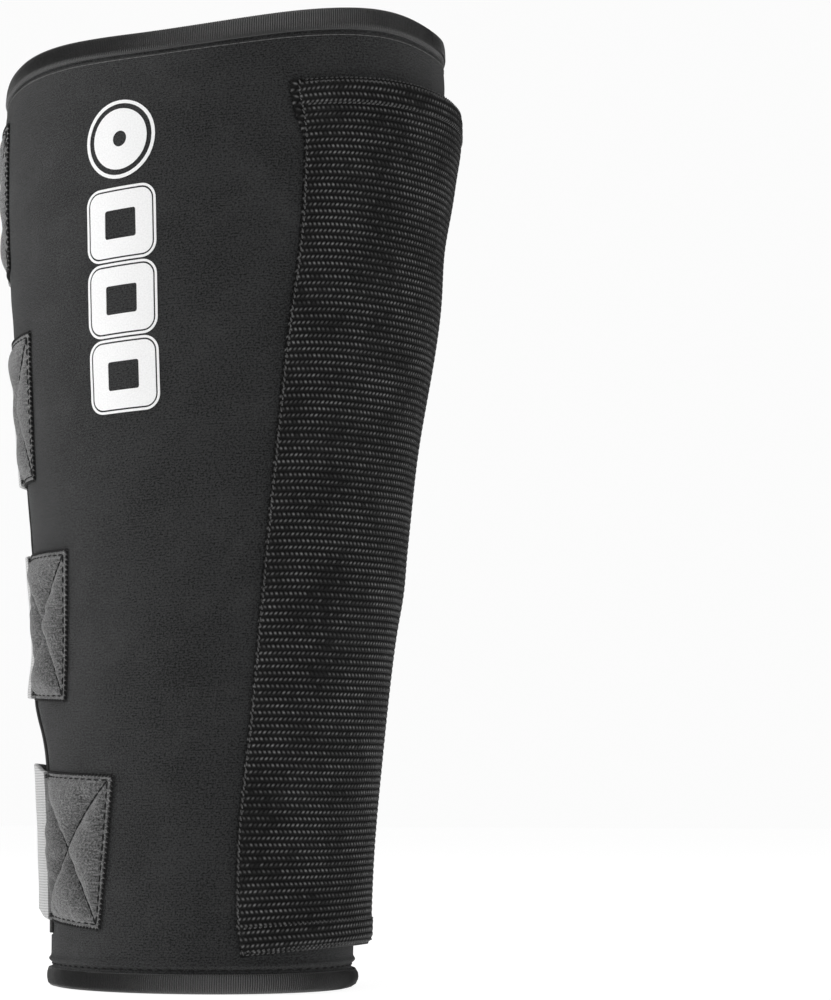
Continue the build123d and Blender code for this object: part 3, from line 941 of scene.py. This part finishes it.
def make_cover():
    """The webbing pocket, with its rows of floats as real relief and turned hems."""
    levels = np.arange(COVER_BOTTOM, COVER_TOP + 0.01, 0.5)[:, None]
    across = np.linspace(-1, 1, 260)[None, :]
    angle = across * cover_side(levels)
    level = np.broadcast_to(levels, angle.shape)
    u = from_shin_seam(angle, level)
    to_side = np.abs(u[:, :1]) - np.abs(u)
    to_end = np.minimum(level - COVER_BOTTOM, COVER_TOP - level)
    slack = 0.35 * soft_noise(u, level, 5, longest=70.0) * smooth_step(0, 15, to_side)
    hem_fold = 0.45 * smooth_step(9.6, 8.6, to_end)
    height = cover_height(across, level) + 0.22 * webbing_relief(u, level) - 0.15 + slack
    height = height + hem_fold - cover_end_drop(level) - rounded_edge(to_side, 1.6)
    shifted = level + cover_rim_shift(across, level)
    outer = on_sleeve(angle, shifted, np.maximum(height, 0.5))
    inner = on_sleeve(angle, shifted, np.minimum(0.3, height - 0.3))
    cover = cloth_shell("shin_cover", outer, inner, np.stack([u, level], -1))
    finish_piece(cover, MATERIALS["webbing"], "sleeve", ["front_cover"])


def make_cover_layer(name, node, wrap, ends, low, high, material):
    """A layer inside the pocket. wrap is its share of the pocket's width, ends how far it stops short of
    the pocket's ends, and low and high give its faces from the height of the pocket over it."""
    levels = np.arange(COVER_BOTTOM + ends, COVER_TOP - ends, 2.0)[:, None]
    across = np.linspace(-wrap, wrap, 90)[None, :]
    angle = across * cover_edge(levels)
    level = np.broadcast_to(levels, angle.shape)
    u = from_shin_seam(angle, level)
    edge = np.minimum(np.abs(u[:, :1]) - np.abs(u), np.minimum(level - level[:1], level[-1:] - level))
    over = cover_height(across, level)
    top, bottom = high(over), low(over)
    round_off = np.minimum(rounded_edge(edge, 1.0), (top - bottom) * 0.45)
    layer = cloth_shell(name, on_sleeve(angle, level, top - round_off),
                        on_sleeve(angle, level, bottom + round_off), np.stack([u, level], -1))
    return finish_piece(layer, MATERIALS[material], "sleeve", [node])


def cover_stitches():
    """The chain of looped thread down each side of the pocket, and the sewn rows at its two ends."""
    levels = np.linspace(COVER_BOTTOM + 0.6, COVER_TOP - 0.6, 300)
    sides = [seam_on_sleeve(walk(side * cover_side(levels), levels, -side * 0.75),
                            levels + cover_rim_shift(side, levels), COVER_EDGE - 0.15)
             for side in (-1, 1)]
    across = np.linspace(-0.965, 0.965, 160)
    end_rows, hem_row = (0.7, 1.9), 9.0    # two rows of thread at each end, and one along its turned hem
    ends = []
    for inset in (*end_rows, hem_row):
        for level, inward in ((COVER_TOP, -1), (COVER_BOTTOM, 1)):
            line = np.full(across.shape, level + inward * inset)
            height = cover_height(across, line) - cover_end_drop(line) + 0.15
            height = np.minimum(height, height.max() - 0.3) if inset == hem_row else height + 0.1
            ends.append(seam_on_sleeve(across * cover_side(line), line + cover_rim_shift(across, line),
                                       height))
    chain = thread_stitches("cover_side_chain", sides, radius=0.32, length=1.8, gap=0.15, lift=0.45,
                            slant=0.55)
    rows = thread_stitches("cover_end_rows", ends, radius=0.36, length=1.25, gap=0.4, lift=0.5,
                           slant=0.35)
    for thread in (chain, rows):
        finish_piece(thread, MATERIALS["webbing_thread"], "sleeve")


def cover_corner():
    """The second layer of webbing past the pocket's top corners, where its hem is folded in."""
    length, widest, tucked = 19.5, 1.9, 1.5
    for side, name in ((-1, "cover_fold_inner"), (1, "cover_fold_outer")):
        levels = np.linspace(COVER_TOP - length, COVER_TOP - 0.3, 60)[:, None]
        tuck = np.linspace(0, 1, 12)[None, :]
        reach = widest * smooth_step(COVER_TOP - 20, COVER_TOP - 9, levels) + 0.2
        angle = walk(side * cover_side(levels), levels, side * (reach * tuck - tucked * (1 - tuck)))
        level = np.broadcast_to(levels + cover_rim_shift(side, levels), angle.shape)
        edge = np.minimum(reach * (1 - tuck), COVER_TOP - levels)
        rows = 0.12 * np.cos(2 * math.pi * level / WEBBING_ROW)
        outer = on_sleeve(angle, level, 1.75 - rounded_edge(edge, 0.6) + rows)
        inner = on_sleeve(angle, level, 0.25)
        uv = np.stack(np.broadcast_arrays(reach * tuck + 40, levels), -1)
        flap = cloth_shell(name, *(grid[:, ::side] for grid in (outer, inner, uv)))
        finish_piece(flap, MATERIALS["webbing"], "sleeve")


make_cover()
cover_corner()
cover_stitches()
# The pad lies just over the sleeve, and the plate between the pad and the webbing. All in mm.
PAD_BASE, PAD_LEAST, PAD_UNDER = 0.35, 0.9, 3.3    # its back, its least height, and how far under the face
PLATE_BACK, PLATE_FRONT = 3.15, 2.0                # how far under the pocket's face its two sides are
pad = make_cover_layer("shin_pad", "foam_pad", 0.84, 10.0, lambda over: over * 0 + PAD_BASE,
                       lambda over: np.maximum(over - PAD_UNDER, PAD_LEAST), "foam")
make_cover_layer("shin_insert", "shin_plate", 0.72, 12.0, lambda over: over - PLATE_BACK,
                 lambda over: over - PLATE_FRONT, "plate")


# ---- The printed mark on each side: a ring over three outlined squares ----
PRINT_ANGLE, PRINT_MIDDLE = 93.0, 239.5
SQUARE_HALF_WIDTH, SQUARE_HALF_HEIGHT, SQUARE_CORNER = 13.3, 12.1, 5.2
SQUARE_CENTRES = (-39.2, -14.4, 10.4)
RING_CENTRE = 38.4
INK_PROUD, INK_SUNK = 0.16, 0.25
OUTLINE_POINTS = 96


def rounded_outline(half_width, half_height, radius):
    """The outline of a shape with rounded corners, as evenly spaced points round it."""
    points = []
    for side, end, start in ((1, 1, 0), (-1, 1, 90), (-1, -1, 180), (1, -1, 270)):
        for turn in np.radians(np.linspace(start, start + 90, 10)):
            points.append((side * (half_width - radius) + radius * math.cos(turn),
                           end * (half_height - radius) + radius * math.sin(turn)))
    points.append(points[0])
    points = np.array(points)
    travelled = np.concatenate([[0], np.cumsum(np.hypot(*np.diff(points, axis=0).T))])
    even = np.linspace(0, travelled[-1], OUTLINE_POINTS + 1)[:-1]
    return np.stack([np.interp(even, travelled, points[:, axis]) for axis in range(2)], -1)


def ink_band(name, centre, outlines, side, turned):
    """A printed band between nested outlines, laid over the neoprene."""
    flat = np.stack(outlines, axis=1)
    u, v = flat[..., 0], flat[..., 1] + centre
    if turned:
        u, v = -u, -v
    level = PRINT_MIDDLE + v
    angle = walk(np.full(u.shape, PRINT_ANGLE), level, u)
    if side < 0:
        angle = 360 - angle
    relief = sleeve_relief(angle, level)
    top = on_sleeve(angle, level, relief + INK_PROUD)
    bottom = on_sleeve(angle, level, relief - INK_SUNK)
    grid = np.concatenate([top, bottom[:, ::-1]], axis=1)
    if side > 0:
        grid = grid[:, ::-1]
    cloth = np.concatenate([flat, flat[:, ::-1]], axis=1)
    cloth = np.concatenate([cloth, cloth[:1]], axis=0)
    cloth = np.concatenate([cloth, cloth[:, :1]], axis=1)
    finish_piece(closed_tube(name, grid, cloth), MATERIALS["print"], "sleeve")


def square_outline(inset):
    """A square's outline, drawn in by an inset."""
    return rounded_outline(SQUARE_HALF_WIDTH - inset, SQUARE_HALF_HEIGHT - inset,
                           max(SQUARE_CORNER - inset, 0.8))


def circle_outline(radius):
    """A circle, as a shape that is nearly all corner."""
    return rounded_outline(radius, radius, radius - 0.001)


def make_print(name, side, turned):
    """The whole mark on one side of the guard."""
    for number, centre in enumerate(SQUARE_CENTRES, 1):
        for part, insets in (("outline", (0, 0.4, 0.8)), ("bar", (1.35, 3.2, 5.2, 7.4))):
            outlines = [square_outline(inset) for inset in insets]
            ink_band(f"{name}_{part}_{number}", centre, outlines, side, turned)
    for part, radii in (("ring", (13.2, 12.6, 12.0)), ("disc", (10.2, 7.4, 4.6, 2.6))):
        ink_band(f"{name}_{part}", RING_CENTRE, [circle_outline(radius) for radius in radii], side, turned)


make_print("outer_mark", 1, False)
make_print("inner_mark", -1, True)


# ---- The straps ----
SIM_SCALE = 20.0             # the patches are simulated this many times life size
SIM_FRAMES = 16
PUFF = (4.3, 4.3, 2.6, 2.4)  # how far the fullest part of each patch stands over its seams
PATCH_DROOP = (-2.4, -1.8, -0.9, 0.0)    # how far each patch's front edge is sewn off level
SEAM_INSET = 1.5             # the patch's box of stitches runs this far inside its edge
HELD_REACH = 0.4             # the simulated cloth is held this near to a seam
SIMULATED_SHARE = 0.7        # the rest of a patch's shape is a set rise beside each seam


def seam_lines(width, height):
    """The box and the cross that a patch is sewn along."""
    left, right, low, high = SEAM_INSET, width - SEAM_INSET, SEAM_INSET, height - SEAM_INSET
    corners = [(left, low), (right, low), (right, high), (left, high)]
    lines = [(*corners[k], *corners[(k + 1) % 4]) for k in range(4)]
    return lines + [(*corners[0], *corners[2]), (*corners[1], *corners[3])]


def distance_to(lines, x, y):
    """Distance in mm from each point of a patch to the nearest of its seams."""
    nearest = np.full(np.shape(x), np.inf)
    for x0, y0, x1, y1 in lines:
        run, climb = x1 - x0, y1 - y0
        share = np.clip(((x - x0) * run + (y - y0) * climb) / (run ** 2 + climb ** 2), 0, 1)
        nearest = np.minimum(nearest, np.hypot(x - x0 - share * run, y - y0 - share * climb))
    return nearest


def blown_up(x, y, held, pressure, slack):
    """Heights of a flat cloth that is held down at some points and blown up from beneath, in mm."""
    rows, columns = x.shape
    index = np.arange(rows * columns).reshape(rows, columns)
    faces = np.stack([index[:-1, :-1], index[:-1, 1:], index[1:, 1:], index[1:, :-1]], -1)
    flat = np.stack([x, y, 0.02 * soft_noise(x, y, 3, longest=9.0)], -1)
    trial = new_piece("trial_cloth", flat.reshape(-1, 3) * SIM_SCALE, faces.reshape(-1, 4))
    group = trial.vertex_groups.new(name="held")
    group.add([int(k) for k in np.flatnonzero(held)], 1.0, "REPLACE")
    cloth = trial.modifiers.new("cloth", "CLOTH")
    settings = cloth.settings
    settings.quality = 6
    settings.mass = 0.25
    settings.tension_stiffness = settings.compression_stiffness = 12
    settings.shear_stiffness = 5
    settings.bending_stiffness = 8.0
    settings.vertex_group_mass = "held"
    settings.shrink_min = -slack
    settings.use_pressure = True
    settings.uniform_pressure_force = pressure
    settings.effector_weights.gravity = 0
    cloth.point_cache.frame_start, cloth.point_cache.frame_end = 1, SIM_FRAMES
    for step in range(1, SIM_FRAMES + 1):
        bpy.context.scene.frame_set(step)
    shown = trial.evaluated_get(bpy.context.evaluated_depsgraph_get())
    points = np.empty(rows * columns * 3, np.float32)
    shown.to_mesh().vertices.foreach_get("co", points)
    shown.to_mesh_clear()
    bpy.context.scene.frame_set(1)
    bpy.data.objects.remove(trial)
    return points.reshape(rows, columns, 3)[..., 2] / MM / SIM_SCALE


def smoothed(heights, held, passes=6):
    """Evens out small wrinkles in a grid of heights, leaving the sewn points down."""
    for _ in range(passes):
        edged = np.pad(heights, 1, mode="edge")
        around = edged[:-2, 1:-1] + edged[2:, 1:-1] + edged[1:-1, :-2] + edged[1:-1, 2:]
        heights = np.where(held, 0.0, (heights * 2 + around) / 6)
    return heights


def puffed_patch(width, height, rows, columns, full, seed):
    """How far a sewn patch stands over its seams, in mm, and its seams."""
    x, y = np.meshgrid(np.linspace(0, width, columns), np.linspace(0, height, rows))
    lines = seam_lines(width, height)
    nearest = distance_to(lines, x, y)
    inside = np.minimum(np.minimum(x, width - x), np.minimum(y, height - y)) > SEAM_INSET
    held = (nearest < HELD_REACH) | ~inside
    lobe = smoothed(np.maximum(blown_up(x, y, held, pressure=6.0, slack=0.035), 0), held)
    beside_seams = 1 - np.exp(-nearest / 1.6)
    lobe = full * mix(beside_seams, lobe / lobe.max(), SIMULATED_SHARE)
    lip = 0.5 * (1 - np.exp(-nearest / 0.7))
    pucker = 0.2 * soft_noise(x, y, seed, count=9, longest=12.0) * np.exp(-nearest / 3.0)
    return np.where(inside, lobe, lip) + pucker, lines


def make_patch(number, centre, front_angle):
    """A brushed patch, sewn round its edge and corner to corner."""
    low, high = centre - STRAP_HEIGHT / 2, centre + STRAP_HEIGHT / 2
    rows, columns = 76, 70
    droop = PATCH_DROOP[number - 1]

    def back_edge(level, inset=0.0):
        """The angle of the patch's back edge, or of a line inset from it."""
        return walk(window_outer_edge(level), level, -PATCH_SETBACK - inset)

    def place(share, level):
        """The angle and level of a point of the flat patch, a share of the way from front to back."""
        front = front_angle - PATCH_LEAN * (level - centre)
        return mix(front, back_edge(level), share), level + droop * (1 - share)

    levels = np.linspace(low, high, rows)[:, None]
    share = np.linspace(0, 1, columns)[None, :]
    angle, level = place(share, levels)
    width = float(girth_between(np.array(front_angle), angle[rows // 2, -1], centre))
    swell, lines = puffed_patch(width, STRAP_HEIGHT, rows, columns, PUFF[number - 1], 40 + number)
    x = share * width
    edge = np.minimum(np.minimum(x, width - x), np.minimum(levels - low, high - levels))
    height = 0.5 + swell - 0.6 * rounded_edge(edge, 0.7)
    uv = np.stack(np.broadcast_arrays(x, levels), -1)
    patch = cloth_shell(f"sewn_patch_{number}", on_sleeve(angle, level, height),
                        on_sleeve(angle, level, 0.2), uv)
    finish_piece(patch, MATERIALS["brushed"], "sleeve", [f"anchor_patch_{number}"])
    t = np.linspace(0, 1, 40)
    seams = [seam_on_sleeve(*place(mix(x0, x1, t) / width, low + mix(y0, y1, t)), 0.8)
             for x0, y0, x1, y1 in lines]
    box = thread_stitches(f"patch_box_thread_{number}", seams[:4], radius=0.3, length=2.3, gap=1.1)
    cross = thread_stitches(f"patch_cross_thread_{number}", seams[4:], radius=0.34, length=2.6, gap=0.25,
                            lift=0.1)
    t = np.linspace(0, 1, 60)
    corners = ((0, 1), (1, 1), (1, 0), (0, 0))
    border = [seam_on_sleeve(*place(mix(x0, x1, t), mix(low, high, mix(y0, y1, t))), 0.55)
              for (x0, y0), (x1, y1) in zip(corners, corners[1:] + corners[:1])]
    lock = thread_stitches(f"patch_border_thread_{number}", border, radius=0.5, length=1.5, gap=0.15,
                           lift=0.25, slant=0.5)
    tack_length, tack_inset, tack_spread = 4.5, 1.6, 0.35
    tacks = []
    for row in (low + tack_inset, high - tack_inset):
        row_levels = np.full(8, row)
        angles = back_edge(row_levels, np.linspace(tack_length, 0, 8))
        tacks += [seam_on_sleeve(angles, row_levels + apart, 1.7)
                  for apart in (-tack_spread, tack_spread)]
    bartack = thread_stitches(f"patch_bartack_{number}", tacks, radius=0.32, length=1.0, gap=0.05,
                              lift=0.3)
    for thread in (box, cross, lock, bartack):
        finish_piece(thread, MATERIALS["thread"], "sleeve")


def strap_grid(centre, start, end, columns, rows=60):
    """Angles and levels of a strip of strap, whose ends lie off two of the window's edges by so much."""
    levels = np.linspace(centre - STRAP_HEIGHT / 2, centre + STRAP_HEIGHT / 2, rows)[:, None]
    (start_edge, start_past), (end_edge, end_past) = start, end
    angle = mix(walk(start_edge(levels), levels, start_past), walk(end_edge(levels), levels, end_past),
                np.linspace(0, 1, columns)[None, :])
    return angle, np.broadcast_to(levels, angle.shape)


def hinge_line(joint, edge, centre, reach):
    """A joint's place, and the direction over the sleeve and away from its axis, in metres."""
    found = next(row for row in frame["joints"] if row["name"] == joint)
    place, axis = Vector(found["pos_m"]), Vector(found["axis"]).normalized()
    over = on_sleeve(walk(edge(centre), centre, reach), centre, STRAP_INNER + STRAP_THICKNESS / 2)
    along = Vector(over * MM) - place
    return place, (along - axis * along.dot(axis)).normalized()


def to_long_edges(level):
    """Distance in mm from each point of a strip of strap to the nearer of its two long edges."""
    return np.minimum(level - level[:1], level[-1:] - level)


def finish_strap(strap, material, node):
    """Gives a strap its material and hides the node that it stands for."""
    strap.data.materials.append(MATERIALS[material])
    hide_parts(node)


BAND_BOW = (3.4, 0.0, 0.5, 0.4)    # how far each band stands off over the calf window
BAND_CLIMB = (3.0, 0.8, 0.5, 0.0)  # and how far it rises on its way across


def make_band(number, centre):
    """The light grey elastic that crosses the calf, from under its patch to its loose end."""
    angle, level = strap_grid(centre, (window_outer_edge, -PATCH_SETBACK - 2.5),
                              (window_inner_edge, TAB_FOLD + 0.5), 110, rows=220)
    u = from_first_column(angle, level)
    total = u[:, -1:]
    from_foot = level - level[:1]
    thick = STRAP_THICKNESS / 2 - rounded_edge(to_long_edges(level), 0.6) * 0.7
    bow = BAND_BOW[number - 1] * smooth_step(2.5, 11.0, u) * smooth_step(0.0, 12.0, total - u)
    bow = bow * mix(0.45, 1.0, from_foot / STRAP_HEIGHT)
    settle = smooth_step(0, 4.0, u) - 1
    ribs = 0.05 * np.cos(2 * math.pi * from_foot / TAPE_RIB)
    wave = 0.12 * soft_noise(u, level, 60 + number, longest=22.0)
    middle = STRAP_INNER + STRAP_THICKNESS / 2 + bow * 0.6 + settle + wave
    level = level + BAND_CLIMB[number - 1] * smooth_step(0, 10, u) * smooth_step(0, 22, total - u)
    band = cloth_shell(f"calf_band_{number}", on_sleeve(angle, level, middle + thick + ribs),
                       on_sleeve(angle, level, middle - thick - ribs * 0.5), np.stack([u, level], -1))
    finish_strap(band, "grey_elastic", f"elastic_band_{number}")
    place, along = hinge_line(f"strap_{number}_open", window_outer_edge, centre, 6.0)
    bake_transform(band)


def make_tab(number, centre):
    """The loose strap end: woven tape sewn over the band's end, with hook tape beneath."""
    angle, level = strap_grid(centre, (window_inner_edge, TAB_FOLD - 7.0), (window_inner_edge, TAB_END), 60)
    u = from_first_column(angle, level)
    over_band = 1 - smooth_step(6.0, 9.5, u)
    wave = 0.15 * soft_noise(u, level, 70 + number, longest=25.0)
    base = mix(STRAP_INNER + 0.3, STRAP_INNER + STRAP_THICKNESS + 0.75, over_band)
    base = base + 0.5 * smooth_step(17, 27, u) + wave
    thick = 1.1
    worn = rounded_edge(np.minimum(to_long_edges(level), u[:, -1:] - u), 0.5)
    ribs = 0.05 * np.cos(2 * math.pi * level / TAPE_RIB)
    tab = cloth_shell(f"loose_end_{number}", on_sleeve(angle, level, base + thick - worn * 0.6 + ribs),
                      on_sleeve(angle, level, base + worn * 0.3), np.stack([u, level], -1))
    finish_strap(tab, "grey_tab", f"strap_tab_{number}")
    place, along = hinge_line(f"tab_{number}_peel", window_inner_edge, centre, 4.0)
    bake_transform(tab)


def make_hook(number, centre):
    """Black hook tape under the loose end."""
    angle, level = strap_grid(centre, (window_inner_edge, HOOK_START), (window_inner_edge, HOOK_END), 24)
    level = centre + (level - centre) * 0.92
    u = from_first_column(angle, level)
    backing, hook_root, hook_pitch = 1.75, 0.55, 0.95
    hooks = 0.16 * np.sin(2 * math.pi * u / hook_pitch) * np.sin(2 * math.pi * level / hook_pitch)
    tape = cloth_shell(f"hook_strip_{number}", on_sleeve(angle, level, backing),
                       on_sleeve(angle, level, hook_root + hooks), np.stack([u, level], -1))
    finish_piece(tape, MATERIALS["hook"], f"tab_{number}", [f"hook_tape_{number}"])


for strap, (strap_middle, patch_front) in enumerate(zip(STRAP_CENTRES, PATCH_FRONT_ANGLE), 1):
    make_patch(strap, strap_middle, patch_front)
    make_band(strap, strap_middle)
    make_tab(strap, strap_middle)
    make_hook(strap, strap_middle)


# ---- Camera, light and floor, in metres ----
CAMERA_DISTANCE, CAMERA_HEIGHT = 0.880, 0.060
CAMERA_TURN, CAMERA_PITCH = math.radians(66.0), math.radians(6.8)
SENSOR, FOCAL_LENGTH = 36.0, 92.5    # in mm
VIEW_SHIFT = 0.0702          # the view's middle lies this far to the shin side of the guard
CALF_SHIFT = 0.00446         # and its line passes this far behind the middle of the frame
UP = Vector((0, 0, 1))

# Each lamp: how far to the right, back and up it stands from the guard's middle, its size and its watts.
LAMPS = {"key": (-1.4, -0.05, 0.35, (0.7, 1.5), 17), "fill": (0.9, 1.3, 0.4, (1.3, 1.3), 5.5),
         "top": (0.0, 0.3, 1.5, (1.2, 1.2), 4.5)}
GUARD_MIDDLE = Vector((0, 0, 0.16))
WHITE, FLOOR_GREY = (1, 1, 1, 1), (0.4, 0.4, 0.4, 1)
FLOOR_GLOW, BACKDROP_SEEN, BACKDROP_LIGHT = 0.89, 0.97, 0.2
FLOOR_REACH, FLOOR_DROP = 6.0, 0.0002


def make_camera():
    """The camera. Returns the directions to its right and towards it, along the floor."""
    lens = bpy.data.cameras.new("camera")
    lens.sensor_width, lens.lens = SENSOR, FOCAL_LENGTH
    camera = bpy.data.objects.new("camera", lens)
    bpy.context.scene.collection.objects.link(camera)
    right = Vector((math.cos(CAMERA_TURN), -math.sin(CAMERA_TURN), 0))
    back = Vector((-math.sin(CAMERA_TURN), -math.cos(CAMERA_TURN), 0))
    camera.location = right * VIEW_SHIFT + back * CAMERA_DISTANCE + Vector((0, CALF_SHIFT, CAMERA_HEIGHT))
    ahead = -back * math.cos(CAMERA_PITCH) + UP * math.sin(CAMERA_PITCH)
    camera.rotation_euler = ahead.to_track_quat("-Z", "Y").to_euler()
    bpy.context.scene.camera = camera
    return right, back


def area_light(name, place, size, power):
    """A soft lamp, turned to the middle of the guard."""
    lamp = bpy.data.lights.new(name, "AREA")
    lamp.shape = "RECTANGLE"
    lamp.size, lamp.size_y = size
    lamp.energy = power
    light = bpy.data.objects.new(name, lamp)
    light.location = place
    light.rotation_euler = (GUARD_MIDDLE - place).to_track_quat("-Z", "Y").to_euler()
    bpy.context.scene.collection.objects.link(light)


def make_floor():
    """A plain pale floor, just under the guard."""
    mesh = bpy.data.meshes.new("floor")
    corners = [(x * FLOOR_REACH, y * FLOOR_REACH, 0) for x, y in ((-1, -1), (1, -1), (1, 1), (-1, 1))]
    mesh.from_pydata(corners, [], [(0, 1, 2, 3)])
    floor = bpy.data.objects.new("floor", mesh)
    floor.location.z = -FLOOR_DROP
    bpy.context.scene.collection.objects.link(floor)
    paper = bpy.data.materials.new("floor_paper")
    paper.use_nodes = True
    shader = paper.node_tree.nodes["Principled BSDF"]
    for socket, value in (("Base Color", FLOOR_GREY), ("Roughness", 0.9), ("Emission Color", WHITE),
                          ("Emission Strength", FLOOR_GLOW)):
        shader.inputs[socket].default_value = value
    mesh.materials.append(paper)


def make_studio(right, back):
    """The lamps, the floor and a white surround that lights the guard less than it shows."""
    for name, (to_right, to_back, to_top, size, power) in LAMPS.items():
        area_light(name, GUARD_MIDDLE + right * to_right + back * to_back + UP * to_top, size, power)
    make_floor()
    world = bpy.data.worlds.new("studio")
    world.use_nodes = True
    surround = world.node_tree.nodes["Background"]
    surround.inputs["Color"].default_value = WHITE
    graph = Graph(world.node_tree)
    seen = graph.add("ShaderNodeLightPath").outputs["Is Camera Ray"]
    graph.feed(surround.inputs["Strength"], graph.between(seen, 0.0, 1.0, BACKDROP_LIGHT, BACKDROP_SEEN))
    bpy.context.scene.world = world
    bpy.context.scene.view_settings.view_transform = "Standard"


make_studio(*make_camera())
